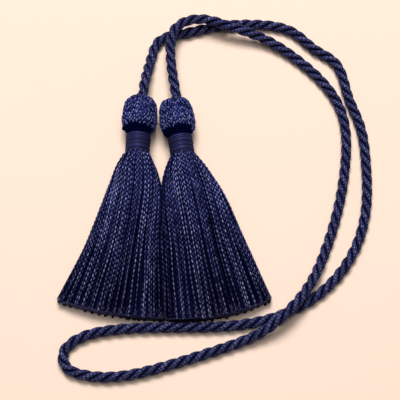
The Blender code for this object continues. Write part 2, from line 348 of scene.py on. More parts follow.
def yarn_finish(name, colors, fibres_round, fibre_length, relief, constants, loops=None, towards_hem=None):
    """Filament yarn: fine fibres along each thread, from deep through bright to a pale painted glint.

    Loops, where given, are how many looped yarns lie side by side round a thread, and their pitch in mm.
    The colors towards the hem, where given, are two duller colors at the cut ends, and the y where they begin
    and are full.
    """
    finish = Finish(name, constants)
    deep, bright, glint_pale = ((*color, 1.0) for color in colors)
    place = finish.node("ShaderNodeAttribute", {"attribute_name": "fibre"}, {}, "Vector")
    tone = finish.node("ShaderNodeAttribute", {"attribute_name": "tone"}, {}, "Fac")
    stretched = finish.node(
        "ShaderNodeVectorMath",
        {"operation": "MULTIPLY"},
        {0: place, 1: (fibres_round, fibres_round, 1.0 / fibre_length)},
    )
    fibre = finish.node(
        "ShaderNodeTexNoise", {}, {"Vector": stretched, "Scale": 1.0, "Detail": 3.0, "Roughness": 0.6}
    )
    uneven = finish.node("ShaderNodeTexNoise", {}, {"Vector": place, "Scale": UNEVEN_SCALE, "Detail": 1.0})
    if loops:
        yarns, pitch = loops
        sideways, upwards, run = (
            finish.node("ShaderNodeSeparateXYZ", {}, {"Vector": place}, axis) for axis in range(3)
        )
        centred = finish.node(
            "ShaderNodeMath", {"operation": "WRAP"}, {0: sideways, 1: THREAD_APART / 2, 2: -THREAD_APART / 2}
        )
        turn = finish.node("ShaderNodeMath", {"operation": "ARCTAN2"}, {0: upwards, 1: centred})
        yarn = turn * (yarns / math.tau)
        slant = finish.node("ShaderNodeMath", {"operation": "PINGPONG"}, {0: yarn, 1: 0.5})
        phase = run * (math.tau / pitch) + slant * LOOP_SLANT + uneven * LOOP_DRIFT
        loop = finish.node("ShaderNodeMath", {"operation": "SINE"}, {0: phase})
        fibre = fibre + loop * uneven * LOOP_DEPTH
    # duller deep and bright colors towards the cut ends, by y
    if towards_hem:
        hem_deep, hem_bright, begins, full = towards_hem
        lies = finish.node("ShaderNodeTexCoord", {}, {}, "Object")
        along_y = finish.node("ShaderNodeSeparateXYZ", {}, {"Vector": lies}, 1)
        hem_share = (begins - along_y) * (1.0 / (begins - full))
        deep = finish.mixed(hem_share, deep, (*hem_deep, 1.0))
        bright = finish.mixed(hem_share, bright, (*hem_bright, 1.0))
    share = tone * (fibre * FIBRE_IN_COLOR + uneven * UNEVEN_IN_COLOR + LEAST_COLOR)
    painted_glint = tone * fibre * PAINTED_GLINT_GAIN - PAINTED_GLINT_LESS
    finish.feed("Base Color", finish.mixed(painted_glint, finish.mixed(share, deep, bright), glint_pale))
    finish.feed("Roughness", MATT - FIBRE_GLOSS * fibre - TONE_GLOSS * tone)
    relieved = {"Strength": BUMP_STRENGTH, "Distance": relief, "Height": fibre}
    finish.feed("Normal", finish.node("ShaderNodeBump", {}, relieved))
    return finish.material


tucks = [np.array(CORD_ROUTE[a]) - np.array(CORD_ROUTE[b]) for a, b in ((0, 1), (-1, -2))]
tucked_route = [
    np.array(CORD_ROUTE[0]) + unit(tucks[0]) * CORD_TUCK * MM,
    *CORD_ROUTE[1:-1],
    np.array(CORD_ROUTE[-1]) + unit(tucks[1]) * CORD_TUCK * MM,
]
cord_line = smooth_line(tucked_route, CORD_STEP * MM)
cord_line[:, 2] = np.maximum(cord_line[:, 2], CORD_DIAMETER / 2 * MM)
cord_run = np.linspace(0.0, np.linalg.norm(np.diff(cord_line, axis=0), axis=1).sum(), len(cord_line))
cord_along = along_of(cord_line)
cord_side = carried_side(cord_along, np.array((1.0, 0.0, 0.0)))
cord_other = np.cross(cord_along, cord_side)

plies = []
ply_tones = []
ply_shape = []
for _ in range(PLY_YARNS):
    ply_shape += [1.0 - YARN_GROOVE, 1.0, 1.0 - YARN_SHOULDER]
ply_shape = np.array(ply_shape) * PLY_RADIUS * MM
for ply in range(PLIES):
    laid = math.tau * ply / PLIES - math.tau * cord_run / (CORD_LAY * MM)
    outward = np.cos(laid)[:, None] * cord_side + np.sin(laid)[:, None] * cord_other
    middle = cord_line + outward * PLY_OFFSET * MM
    heading = along_of(middle)
    outward = unit(outward - heading * (outward * heading).sum(1, keepdims=True))
    across = np.cross(heading, outward)
    turn = math.tau * np.arange(len(ply_shape)) / len(ply_shape) + (
        math.tau * cord_run / (YARN_LAY * MM)
    )[:, None]
    plies.append(
        middle[:, None]
        + ply_shape[None, :, None] * np.cos(turn)[..., None] * outward[:, None]
        + ply_shape[None, :, None] * np.sin(turn)[..., None] * across[:, None]
    )
    # painted shade, deep in the valleys between plies and between yarns
    painted_ply_shade = np.clip(PLY_SIDE_SHADE + PLY_CREST_LIGHT * np.cos(turn), 0.0, 1.0)
    ply_tones.append(PLY_TONES[ply] * painted_ply_shade * CORD_YARN_SHADE[np.arange(len(ply_shape)) % len(CORD_YARN_SHADE)])
plies = np.array(plies)
plies[..., 2] = np.maximum(plies[..., 2], 0.0)

cord = add_threads("cord_plies", (plies, cord_run, np.array(ply_tones)))
# pale is the color of the painted glint
CORD_COLORS = ((0.0003, 0.0005, 0.008), (0.060, 0.066, 0.225), (0.20, 0.21, 0.36))  # deep, bright, pale
CORD_LOOP_PITCH = 1.05  # mm from one loop of a yarn to the next
CORD_SHINE = {
    "Sheen Weight": 0.03,
    "Sheen Roughness": 0.35,
    "Sheen Tint": (0.45, 0.48, 0.9, 1.0),
    "Specular IOR Level": 0.2,
    "Specular Tint": (0.4, 0.45, 1.0, 1.0),
    "IOR": 1.25,
    "Metallic": 0.15,
}
cord_yarn = yarn_finish(
    "cord_rayon",
    CORD_COLORS,
    fibres_round=6.0,
    fibre_length=1.2,
    relief=0.05 * MM,
    constants=CORD_SHINE,
    loops=(PLY_YARNS, CORD_LOOP_PITCH),
)
cord.data.materials.append(cord_yarn)
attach(cord, "root")
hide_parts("cord")

# ---------------------------------------------------------------- heads
# The rayon yarns are folded over the cord's end, run side by side down over the shoulder and are drawn
# in under it. Each yarn is a fine chain, so two columns of small slanting stitches show. A bead inside,
# near-black as painted shade, fills the dark between the yarns, and the stitches below the fold are
# painted deep as shade.

AXIS_HEIGHT = 6.7  # mm above the surface
TASSELS = {
    "left": {"crown": (-9.35, 44.0), "tilt": -2.6, "seam_side": 1, "seed": 5},
    "right": {"crown": (3.35, 43.0), "tilt": 8.5, "seam_side": -1, "seed": 6},
}
HEAD_PROFILE = (  # (distance down the axis from the crown, radius) in mm, over the stitches' middles
    (1.2, 2.0),
    (0.7, 2.8),
    (1.0, 4.0),
    (1.7, 5.0),
    (3.0, 5.7),
    (5.2, 6.25),
    (8.0, 6.5),
    (10.8, 6.5),
    (12.3, 6.2),
    (13.4, 5.75),
    (14.3, 5.0),
    (15.0, 4.3),
    (15.7, 3.95),
    (16.5, 3.85),
)
HEAD_YARNS = 29
HEAD_PITCH = 1.55  # mm from one stitch to the next
HEAD_FOLD = 13.0  # mm down the axis, where the yarns fold in and the underside begins
HEAD_FOLD_SLACK = 2.2  # mm further down at the right, where they are drawn in less
HEAD_STITCH = (1.5, 0.54, 0.66)  # length, width and thickness in mm
HEAD_LEAN = math.radians(14.0)  # of the stitches in a yarn's two columns, to either side
HEAD_STRAY = math.radians(23.0)  # how unevenly they lean
HEAD_SCATTER = 0.02  # radians, how unevenly they lie round the axis
HEAD_DIP = math.radians(-7.0)  # of a stitch's lower end, under the next one
HEAD_SHIFT = 0.28  # mm, how unevenly they lie along the yarn
HEAD_LIFT = 0.06  # mm, how unevenly they stand out
HEAD_SIZES = (0.88, 1.1)  # least and greatest, as shares of the full size
HEAD_FAST, HEAD_LOOSE = 3.0, 5.5  # mm, the radii at which they are held fast and lie loose
HEAD_TONE = (0.58, 0.26)  # of the stitches on average, and how far they differ
HEAD_TONES = (0.15, 1.0)  # least and greatest
# painted light: the stitches low on the shoulder are made brighter
HEAD_PAINTED_LIGHT_FROM, HEAD_PAINTED_LIGHT = 9.0, 0.3  # mm down the axis, below which they are brighter, and by how much
HEAD_FULL = 6.7  # mm, the radius from which they have their full width
HEAD_NARROW = 0.45  # the least share of it, near the cord
FOLD_RAGGED = 0.3  # mm
FOLD_AT = 0.3  # radians below the right side, where the slack in the fold lies
BEAD_SIDES = 40
BEAD_INSIDE = 0.12  # mm between the bead and the stitches' middles
# painted shade: the bead is near-black, standing for the dark between the yarns
BEAD_SHADE_TONE = 0.05

STITCH_AT = (-1.0, -0.72, -0.25, 0.25, 0.72, 1.0)
STITCH_SWELL = (0.14, 0.70, 1.0, 0.96, 0.62, 0.12)
# painted shade: a stitch darkens towards its ends, where it goes under its neighbours
STITCH_END_SHADE = (0.1, 0.65, 1.0, 1.0, 0.55, 0.08)  # share of its tone at each of these sections
# painted shade at its flanks and underside
STITCH_FLANK_SHADE = 0.05  # share of its tone at its flanks
STITCH_APART = 0.003  # metres between two stitches' places for fibres, so that no two look alike
ROUND_STITCH, PLAIN_STITCH = 8, 4  # points round a stitch that shows, and one that hardly does


def tassel_axes(tassel):
    """The crown in metres and the directions to the side, up and down the axis to the cut ends."""
    tilt = math.radians(tassel["tilt"])
    crown = np.array((*tassel["crown"], AXIS_HEIGHT)) * MM
    side = np.array((math.cos(tilt), math.sin(tilt), 0.0))
    down_axis = np.array((math.sin(tilt), -math.cos(tilt), 0.0))
    return crown, side, np.array((0.0, 0.0, 1.0)), down_axis


def stitches(middles, along, up, size, around):
    """Leaf-shaped stitches, one at each middle, as rings of so many points."""
    size = np.broadcast_to(np.asarray(size) * MM / 2, (len(middles), 3))
    along = unit(along)
    up = unit(up - along * (up * along).sum(1, keepdims=True))
    side = np.cross(up, along)
    turn = math.tau * np.arange(around) / around
    at = np.array(STITCH_AT)[None, :, None, None]
    swell = np.array(STITCH_SWELL)[None, :, None, None]
    length, width, thickness = (size[:, None, None, None, axis] for axis in range(3))
    rings = middles[:, None, None] + at * length * along[:, None, None]
    rings = rings + swell * width * np.cos(turn)[None, None, :, None] * side[:, None, None]
    return rings + swell * thickness * np.sin(turn)[None, None, :, None] * up[:, None, None]


def stitch_tones(tones, around):
    """Each stitch's tone at each of its points, with painted shade: full on top, deep at its ends, flanks and
    underside.
    """
    turn = math.tau * np.arange(around) / around
    lit = np.clip(STITCH_FLANK_SHADE + (1.0 - STITCH_FLANK_SHADE) * np.sin(turn), 0.0, 1.0)
    return np.asarray(tones)[:, None, None] * np.array(STITCH_END_SHADE)[None, :, None] * lit[None, None, :]


def stitch_run(count, length):
    """How far each section of each stitch lies along it."""
    return np.array(STITCH_AT)[None, :] * length * MM / 2 + np.arange(count)[:, None] * STITCH_APART


# deep, bright, and pale, the color of the painted glint
TASSEL_COLORS = ((0.0005, 0.0011, 0.017), (0.158, 0.186, 0.640), (0.64, 0.64, 0.66))
# duller colors towards the cut ends
HEM_COLORS = ((0.0005, 0.0009, 0.011), (0.185, 0.192, 0.41))  # deep and bright at the cut ends
HEM_COLORS_FROM, HEM_COLORS_FULL = 0.014, -0.040  # y in metres
TASSEL_SHINE = {
    "Sheen Weight": 0.015,
    "Sheen Roughness": 0.3,
    "Sheen Tint": (0.45, 0.48, 0.9, 1.0),
    "Specular IOR Level": 0.12,
    "Specular Tint": (0.4, 0.45, 1.0, 1.0),
    "IOR": 1.25,
    "Metallic": 0.45,
}
TASSEL_FIBRES = {"fibres_round": 4.0, "fibre_length": 0.8, "relief": 0.04 * MM, "constants": TASSEL_SHINE}
tassel_yarn = yarn_finish(
    "tassel_rayon", TASSEL_COLORS, **TASSEL_FIBRES, towards_hem=(*HEM_COLORS, HEM_COLORS_FROM, HEM_COLORS_FULL)
)

# deep, bright, and pale, the color of the painted glint
HEAD_COLORS = ((0.0003, 0.0026, 0.034), (0.156, 0.190, 0.640), (0.64, 0.64, 0.66))
head_yarn = yarn_finish("head_rayon", HEAD_COLORS, **TASSEL_FIBRES)

for name, tassel in TASSELS.items():
    crown, side, up, down_axis = tassel_axes(tassel)
    chance = np.random.default_rng(tassel["seed"])
    profile = smooth_line(HEAD_PROFILE, HEAD_PITCH / 2)
    middles, along, outward, sizes, tones = [], [], [], [], []
    for column in range(2 * HEAD_YARNS):
        places = profile[column % 2 :: 2]
        count = len(places)
        slope = np.gradient(profile, axis=0)[column % 2 :: 2]
        turn = math.tau * (column + 0.5) / (2 * HEAD_YARNS) + chance.normal(0.0, HEAD_SCATTER, count)
        radial = np.cos(turn)[:, None] * side + np.sin(turn)[:, None] * up
        round_it = -np.sin(turn)[:, None] * side + np.cos(turn)[:, None] * up
        run = unit(slope[:, :1] * down_axis + slope[:, 1:] * radial)
        normal = np.cross(round_it, run)
        # held fast near the cord and where the yarns fold in, and crowded near the cord
        loose_above = np.clip((places[:, 1] - HEAD_FAST) / (HEAD_LOOSE - HEAD_FAST), 0.2, 1.0)
        loose = loose_above * np.clip(HEAD_FOLD + 0.6 - places[:, 0], 0.15, 1.0)
        crowding = np.clip(places[:, 1] / HEAD_FULL, HEAD_NARROW, 1.0)
        lean = HEAD_LEAN * (1 if column % 2 else -1)
        lean = lean + chance.normal(0.0, HEAD_STRAY, count) * loose
        dip = np.full(count, HEAD_DIP)
        middles.append(
            crown
            + (places[:, 0] + chance.normal(0.0, HEAD_SHIFT, count) * loose)[:, None] * MM * down_axis
            + (places[:, 1:] + chance.normal(0.0, HEAD_LIFT, (count, 1))) * MM * radial
        )
        along.append(
            run * np.cos(lean)[:, None] + round_it * np.sin(lean)[:, None] + normal * np.sin(dip)[:, None]
        )
        outward.append(normal)
        sizes.append(
            np.column_stack(
                [
                    np.full(count, HEAD_STITCH[0]),
                    HEAD_STITCH[1] * crowding,
                    np.full(count, HEAD_STITCH[2]),
                ]
            )
            * chance.uniform(*HEAD_SIZES, (count, 1))
        )
        # painted light low on the shoulder
        tone = chance.normal(*HEAD_TONE, count) + HEAD_PAINTED_LIGHT * (places[:, 0] > HEAD_PAINTED_LIGHT_FROM)
        # painted shade: below the fold, under the head's overhang, the stitches are deep
        shade_edge = HEAD_FOLD + HEAD_FOLD_SLACK * np.clip(np.cos(turn + FOLD_AT), 0.0, 1.0) ** 4
        shade_edge = shade_edge + chance.normal(0.0, FOLD_RAGGED, count)
        tones.append(np.where(places[:, 0] > shade_edge, 0.0, np.clip(tone, *HEAD_TONES)))
    middles, along, outward, sizes, tones = (
        np.concatenate(group) for group in (middles, along, outward, sizes, tones)
    )
    leaves = stitches(middles, along, outward, sizes, ROUND_STITCH)
    leaves[..., 2] = np.maximum(leaves[..., 2], 0.0)

    # the bead under the yarns, a little inside their middles
    turn = math.tau * np.arange(BEAD_SIDES) / BEAD_SIDES
    bead = crown + profile[:, None, :1] * MM * down_axis
    bead_radius = (profile[:, 1] - BEAD_INSIDE)[:, None, None] * MM
    bead = bead + bead_radius * (np.cos(turn)[:, None] * side - np.sin(turn)[:, None] * up)
    bead[..., 2] = np.maximum(bead[..., 2], 0.0)
    bead_run = np.linspace(0.0, 0.02, len(profile))
    # painted shade: the bead goes deep below the fold
    bead_shade_tone = np.interp(profile[:, 0], (HEAD_FOLD - 1.0, HEAD_FOLD), (BEAD_SHADE_TONE, 0.0))
    head = add_threads(
        f"head_{name}",
        (leaves, stitch_run(len(leaves), HEAD_STITCH[0]), stitch_tones(tones, ROUND_STITCH)),
        (bead[None], bead_run, bead_shade_tone[None]),
    )
    head.data.materials.append(head_yarn)
    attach(head, "root")
    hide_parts(f"tassel_{name}")

# ---------------------------------------------------------------- bindings
# The neck is bound with many tight turns of one fine twisted thread, side by side, drawn in a little
# towards the skirt. Its ends are sewn in under the turns.

BINDING_FROM, BINDING_TO = 16.1, 23.8  # mm down the axis
BINDING_RADII = (4.8, 4.75, 4.7, 4.7)  # mm, outside, evenly from top to foot
BINDING_PITCH = 0.66  # mm
BINDING_THREAD = 0.74  # mm thick, so that turns press into each other
BINDING_LEAN = {"left": 0.0, "right": 0.06}  # how far a turn's one side lies below the other, in radii
BINDING_STEPS = 44  # to a turn
BINDING_SIDES = 8  # round the thread
BINDING_WAVER = (0.05, 0.03)  # mm along the axis, slow and quick
BINDING_SWELL = 0.03  # mm out and in
BINDING_TONE = 0.55
BINDING_DIFFERS = (0.12, 0.08)  # in tone, quick and slow
# painted shade: the turns are darker underneath and lighter on top
BINDING_PAINTED_SHADE = (0.5, 0.55)  # share of the tone underneath, and how much more on top

# deep, bright, and pale, the color of the painted glint
THREAD_COLORS = ((0.0010, 0.0014, 0.012), (0.068, 0.072, 0.235), (0.15, 0.16, 0.36))
THREAD_SHINE = {
    "Sheen Weight": 0.03,
    "Sheen Roughness": 0.5,
    "Sheen Tint": (0.5, 0.52, 0.85, 1.0),
    "Specular IOR Level": 0.15,
    "Specular Tint": (0.4, 0.45, 1.0, 1.0),
    "IOR": 1.25,
    "Metallic": 0.3,
}
binding_thread = yarn_finish(
    "binding_cotton",
    THREAD_COLORS,
    fibres_round=3.0,
    fibre_length=0.6,
    relief=0.03 * MM,
    constants=THREAD_SHINE,
)

for name, tassel in TASSELS.items():
    crown, side, up, down_axis = tassel_axes(tassel)
    chance = np.random.default_rng(tassel["seed"] + 10)
    turns = (BINDING_TO - BINDING_FROM - BINDING_THREAD) / BINDING_PITCH
    share = np.linspace(0.0, 1.0, round(turns * BINDING_STEPS))
    turn = math.tau * turns * share
    lean = BINDING_LEAN[name] * np.sin(math.pi * share) * np.cos(turn + 0.3) * BINDING_RADII[0]
    waver = BINDING_WAVER[0] * np.sin(turn * 0.37 + chance.uniform(0.0, 6.0))
    waver = waver + BINDING_WAVER[1] * np.sin(turn * 1.9)
    evenly_down = np.linspace(0.0, 1.0, len(BINDING_RADII))
    radius = np.interp(share, evenly_down, BINDING_RADII) - BINDING_THREAD / 2
    radius = radius + BINDING_SWELL * np.sin(turn * 0.53)
    down = BINDING_FROM + BINDING_THREAD / 2 + turns * BINDING_PITCH * share + (lean * 0.5 + waver)
    radial = np.cos(turn)[:, None] * side + np.sin(turn)[:, None] * up
    middle = crown + down[:, None] * MM * down_axis + radius[:, None] * MM * radial
    heading = along_of(middle)
    radial = unit(radial - heading * (radial * heading).sum(1, keepdims=True))
    across = np.cross(heading, radial)
    rim = math.tau * np.arange(BINDING_SIDES) / BINDING_SIDES
    thread = middle[:, None] + BINDING_THREAD / 2 * MM * (
        np.cos(rim)[None, :, None] * radial[:, None] + np.sin(rim)[None, :, None] * across[:, None]
    )
    thread_run = share * turns * math.tau * BINDING_RADII[0] * MM
    thread_tone = BINDING_TONE + BINDING_DIFFERS[0] * np.sin(turn * 0.61 + 1.0)
    thread_tone = thread_tone + BINDING_DIFFERS[1] * np.sin(turn * 0.17)
    # painted light and shade: turns lighter on top of the neck, and each thread darker towards its sides,
    # where turns meet
    painted_top_light = np.clip(np.sin(turn - 0.12), 0.0, 1.0)
    thread_tone = thread_tone * (BINDING_PAINTED_SHADE[0] + BINDING_PAINTED_SHADE[1] * painted_top_light)
    thread_tone = thread_tone[:, None] * np.clip(0.9 * np.cos(rim), 0.0, 1.0)
    binding = add_threads(f"wound_{name}", (thread[None], thread_run, thread_tone[None]))
    binding.data.materials.append(binding_thread)
    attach(binding, "root")
    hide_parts(f"binding_{name}")

# ---------------------------------------------------------------- skirts
# The same looped yarns hang on below the binding and are cut straight. They leave it several deep, and
# as the skirt fans out the lower ones come up between the upper ones. Some keep together in small
# bunches and leave dark gaps.

SKIRT_START = 24.8  # mm down the axis
COLLAR_RADIUS = 5.8  # mm
# share of the length; left and right edge as (x, y), how far the line between them bows down, and the
# heights of middle and top, all in mm; how evenly the yarns spread sideways, from 0 to 1; and the powers
# that square the upper side, its part at the other tassel, and the underside
COLUMNS = ("share", "left", "right", "bow", "middle", "top", "spread", "crest", "seam", "sole")
SKIRT_ROWS = {
    "left": (
        (0.08, (-18.9, 15.1), (-2.7, 14.7), 0.2, 5.8, 11.9, 0.25, 2.1, 2.4, 5.0),
        (0.2, (-21.2, 8.8), (-0.9, 8.4), 0.4, 4.6, 10.8, 0.55, 2.3, 3.0, 12.0),
        (0.6, (-29.2, -13.6), (0.05, -18.2), 1.0, 3.1, 7.8, 1.0, 2.8, 4.5, 20.0),
        (1.0, (-39.9, -36.6), (1.7, -43.9), 1.9, 2.6, 6.2, 1.0, 3.2, 6.0, 24.0),
    ),
    "right": (
        (0.08, (-0.4, 13.6), (16.3, 15.3), 0.2, 5.8, 11.9, 0.25, 2.1, 2.4, 5.0),
        (0.2, (-1.6, 7.8), (20.5, 9.2), 0.5, 4.6, 11.0, 0.55, 2.3, 3.0, 12.0),
        (0.6, (-1.05, -18.9), (30.6, -12.9), 1.9, 3.1, 8.0, 1.0, 2.8, 4.5, 20.0),
        (1.0, (-0.3, -43.9), (40.4, -36.0), 3.4, 2.6, 6.4, 1.0, 3.2, 6.0, 24.0),
    ),
}
FIRST_ROW = (0.0, None, None, 0.0, 6.7, 12.3, 0.0, 2.0, 2.0, 2.0)
OUTER_YARNS = 44
INNER_YARNS = 30
INNER_DEEP = ((0.0, 0.5), (0.5, 1.55))  # in yarn thicknesses, from the skirt's edges to its middle
INNER_WANDER = 0.5  # mm aside, and radians of turn
INNER_TONE = (0.5, 0.1)  # on average, and how far they differ
OUTER_WANDER = 0.22  # mm, down and aside at the cut ends
OUTER_TURN = (0.3, 0.45)  # radians at the neck, and how much more at the cut ends
YARN_WIDTH = ((0.0, 0.1, 0.25, 1.0), (0.95, 1.15, 1.5, 1.9))  # mm, from the neck to the cut ends
YARN_THICKNESS = 1.2  # mm
SKIRT_PITCH = 1.9  # mm from one stitch to the next
SKIRT_STITCH = 1.95  # mm long
SKIRT_SLIM = ((0.0, 0.3, 1.0), (0.47, 0.43, 0.34))  # a stitch's share of its yarn's width, neck to hem
YARN_SPACING = ((0.0, 0.2, 0.6, 1.0), (0.75, 0.95, 1.2, 1.65))  # mm between yarns, from neck to hem
# painted shade: the outer yarns darken from the neck to the cut ends
OUTER_SHADE_DOWN = ((0.0, 0.2, 0.45, 1.0), (0.82, 0.76, 0.6, 0.56))  # of the outer yarns, from neck to hem
YARN_DIFFERS = 0.22  # how far yarns differ in tone
YARN_ROLL = 20.0  # degrees, how unevenly yarns are turned about themselves
# painted shade: the yarns darken towards the skirt's outer edge
EDGE_PAINTED_SHADE, EDGE_WIDTH = 0.35, 0.6  # at the outer edge, and over how many radians round the skirt
# painted shade: yarns against the other tassel are darker, as in its shade
SEAM_PAINTED_SHADE, SEAM_WIDTH = 0.6, 0.3  # share of their tone at the other tassel, and over how many radians
NECK_STEPS = 4  # sections of each yarn above the skirt's start
STITCH_DIP = math.radians(-6.0)  # of a stitch's lower end, under the next one
STITCH_SETTLES = (2.0, 14.0)  # mm down a yarn, the stretch over which its stitches change
STITCH_GROWS = (0.66, 1.0)  # over it, their share of the full length
STITCH_STRAY = (14.0, 4.0)  # over it, how unevenly they lean, in degrees
STITCH_LEAN = 6.0  # degrees, of the two columns to either side
STITCH_DRIFT = 0.06  # mm, how unevenly they lie along the yarn
STITCH_SIZES = (0.9, 1.08)  # least and greatest, as shares of the full size
STITCH_DIFFERS = 0.15  # how far they differ in tone
STITCH_DEEP = ((0.05, 0.4), (0.42, 0.68))  # their share of the yarn's thickness, from the neck down
COLUMNS_APART = ((0.0, 0.4, 1.0), (0.25, 0.23, 0.18))  # half of it, in yarn widths, from neck to hem
# painted shade: a turned yarn's far column lies under and darkens
TURNED_SHADE = ((0.0, 0.3, 1.0), (0.8, 1.9, 3.2))  # how much a turned yarn's far column darkens
CORE_WIDTH = ((0.9, 0.98), (0.44, 0.52))  # near the cut end, half of it as a share of the yarn's width
CORE_FLATNESS = 0.3  # half the core's thickness, as a share of the yarn's
CORE_SIDES = 6
# painted shade: the core is near-deep, standing for the shade between the stitches
CORE_SHADE_TONES = ((0.0, 0.12, 0.4), (0.06, 0.03, 0.0))  # from the neck down
CUT_TONE = 0.85  # of a yarn's cut face
HAIRS = 6  # to a yarn
HAIR_STEPS = (0.0, 0.5, 1.0)  # shares of a hair's length
HAIR_FROM = (0.2, 2.6)  # mm above the cut end
HAIR_SCATTER = 0.35  # mm
HAIR_BEND = 0.12  # mm
HAIR_RADIUS = 0.05  # mm
HAIR_TONE = 0.6
PACKING_DEPTH = ((0.0, 0.3, 0.9, 0.992), (1.3, 2.2, 2.2, 1.2))  # mm inside the skirt's outside
PACKING_FLOOR = 0.3  # mm above the surface
PACKING_SIDES = 48
PACKING_LENGTH = 0.06  # metres
PACKING_CUT_TONE = 0.45
SKIRT_HIDDEN = 2.0  # mm of each yarn above the skirt's start
NECK_SLOPE = 0.85  # how fast the yarns narrow there
HEM_RAGGED = 0.014  # how much shorter than full length a yarn may be cut
INNER_SHORT = 0.009  # how much shorter the inner yarns are, so that they end clear of the cord
SUNK_BY = 0.2  # share of the length at which the skirt first lies on the surface


def skirt_rows(name):
    """Each column of the skirt's rows with the first row worked out from the collar."""
    crown, side, _, down_axis = tassel_axes(TASSELS[name])
    neck = crown + SKIRT_START * MM * down_axis
    edges = [tuple((neck + sign * COLLAR_RADIUS * MM * side)[:2] / MM) for sign in (-1, 1)]
    first = (FIRST_ROW[0], *edges, *FIRST_ROW[3:])
    return {column: np.array(values, float) for column, values in zip(COLUMNS, zip(first, *SKIRT_ROWS[name]))}


def eased(rows, column, share):
    """A column's value at any share of the length, on a smooth curve through its rows."""
    shares, values = rows["share"], rows[column]
    slopes = np.gradient(values, shares, axis=0)
    low = np.clip(np.searchsorted(shares, share, side="right") - 1, 0, len(shares) - 2)
    gap = shares[low + 1] - shares[low]
    u = (share - shares[low]) / gap
    if values.ndim > 1:
        u, gap = u[..., None], gap[..., None]
    return (
        values[low] * (2 * u**3 - 3 * u**2 + 1)
        + values[low + 1] * (3 * u**2 - 2 * u**3)
        + slopes[low] * (u**3 - 2 * u**2 + u) * gap
        + slopes[low + 1] * (u**3 - u**2) * gap
    )


def skirt_skin(name, rows, turn, share):
    """Points on the skirt's outside: turn goes round it, a quarter turn being up, share down it."""
    turn, share = np.broadcast_arrays(turn, share)
    laid = np.clip(share, 0.0, 1.0)
    spread = np.clip(eased(rows, "spread", laid), 0.0, 1.0)
    across = np.cos(turn) * (1.0 - spread) + (1.0 - 2.0 * np.abs(turn) / math.pi) * spread
    seam = across * TASSELS[name]["seam_side"] > 0
    power = np.where(seam, eased(rows, "seam", laid), eased(rows, "crest", laid))
    power = np.where(turn < 0, eased(rows, "sole", laid), power)
    rise = np.sqrt(np.maximum(0.0, 1.0 - np.abs(across) ** power))
    middle = eased(rows, "middle", laid)
    sunk = np.minimum(1.0, laid / SUNK_BY)
    reach = np.where(
        turn >= 0, eased(rows, "top", laid) - middle, -(COLLAR_RADIUS * (1.0 - sunk) + middle * sunk)
    )
    left, right = eased(rows, "left", laid), eased(rows, "right", laid)
    flat = left + (right - left) * ((across + 1.0) / 2.0)[..., None]
    down_axis = tassel_axes(TASSELS[name])[3][:2]
    flat = flat + (eased(rows, "bow", laid) * (1.0 - across**2))[..., None] * down_axis
    return np.concatenate([flat, (middle + rise * reach)[..., None]], axis=-1) * MM


WAVES = ((0.55, 0.6), (1.2, 0.35), (2.6, 0.18))  # (waves down the skirt, weight)


def waves(chance, share, count):
    """Slow wandering to either side, from about -1 to 1, different for each of so many yarns."""
    wander = np.zeros((count, len(share)))
    for pace, weight in WAVES:
        phase = chance.uniform(0.0, math.tau, (count, 1))
        wander += weight * np.sin(math.tau * pace * chance.uniform(0.8, 1.25, (count, 1)) * share + phase)
    return wander


def yarn_lines(name, rows, turns, depth, aside, shares):
    """The yarns' middles, and their directions along, to the side and outward, at each share."""
    crown, side, up, down_axis = tassel_axes(TASSELS[name])
    turn = turns[:, None]
    skin = skirt_skin(name, rows, turn, shares)
    before = skirt_skin(name, rows, np.maximum(turn - 0.03, -math.pi), shares)
    after = skirt_skin(name, rows, np.minimum(turn + 0.03, math.pi), shares)
    along = unit(np.gradient(skin, axis=1))
    outward = unit(np.cross(after - before, along))
    sideways = np.cross(outward, along)
    middles = skin - outward * depth[..., None] * MM + sideways * aside[..., None] * MM

    # above the skirt the yarns narrow into the binding
    radial = np.cos(turn)[..., None] * side + np.sin(turn)[..., None] * up
    hidden = np.linspace(-SKIRT_HIDDEN, -0.5, NECK_STEPS)
    radius = COLLAR_RADIUS - depth[:, :1] + hidden[None] * NECK_SLOPE
    neck = crown + (SKIRT_START + hidden)[None, :, None] * MM * down_axis
    neck = neck + radius[..., None] * MM * radial
    middles = np.concatenate([neck, middles], axis=1)
    outward = np.concatenate([np.repeat(outward[:, :1], NECK_STEPS, axis=1), outward], axis=1)
    return middles, outward


def read_at(at, run, *tracks):
    """Each track's values at these distances along the line that it follows."""
    return [
        np.column_stack([np.interp(at, run, axis) for axis in np.atleast_2d(track.T)]) for track in tracks
    ]


def yarn_core(middles, directions, outward, width, fine, total):
    """The flat core that a yarn's stitches are looped round, painted dark as shade between them: its rings,
    its tone and its run.
    """
    at = np.append(np.linspace(0.0, total - 0.9, 25), total - 0.8)
    place, heading, out, broad = read_at(at, fine, middles, directions, outward, width)
    heading = unit(heading)
    out = unit(out - heading * (out * heading).sum(1, keepdims=True))
    across = np.cross(out, heading)
    rim = (math.tau * np.arange(CORE_SIDES) / CORE_SIDES)[None, :, None]
    half_width = np.interp(at / total, *CORE_WIDTH)[:, None, None] * broad[:, :, None]
    core = place[:, None] + MM * (
        half_width * np.cos(rim) * across[:, None]
        + CORE_FLATNESS * YARN_THICKNESS * (np.sin(rim) - 0.3) * out[:, None]
    )
    tones = np.interp(at / total, *CORE_SHADE_TONES)
    tones[-1] = CUT_TONE
    return core, tones, at * MM


